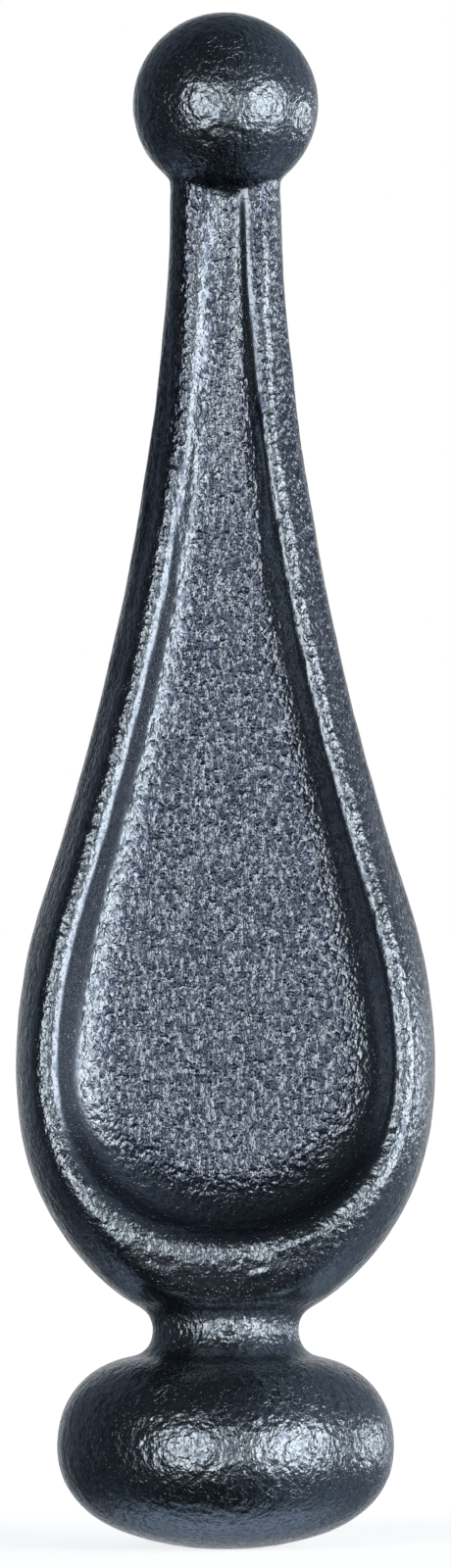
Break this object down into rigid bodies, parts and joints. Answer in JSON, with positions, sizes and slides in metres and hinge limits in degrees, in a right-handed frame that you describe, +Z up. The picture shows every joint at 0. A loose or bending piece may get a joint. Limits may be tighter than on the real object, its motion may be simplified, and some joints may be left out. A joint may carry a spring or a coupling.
{
  "type": "railing spear finial",
  "caption": "Slender spear finial that tops a railing bar: ball tip, long teardrop leaf recessed front and back inside a rounded rim, waisted neck and rounded bun foot.",
  "frame": {"origin": "centre of the small flat under the bun, where the finial seats on the end of its railing bar", "axes": "+Z up the finial from the seat to the ball, -Y the front face of the leaf, +X to the right seen from the front"},
  "size_m": [0.041, 0.033, 0.15],
  "materials": {
    "forged_iron": "satin"
  },
  "bodies": {
    "root": {"finial": "forged_iron"}
  },
  "joints": []
}
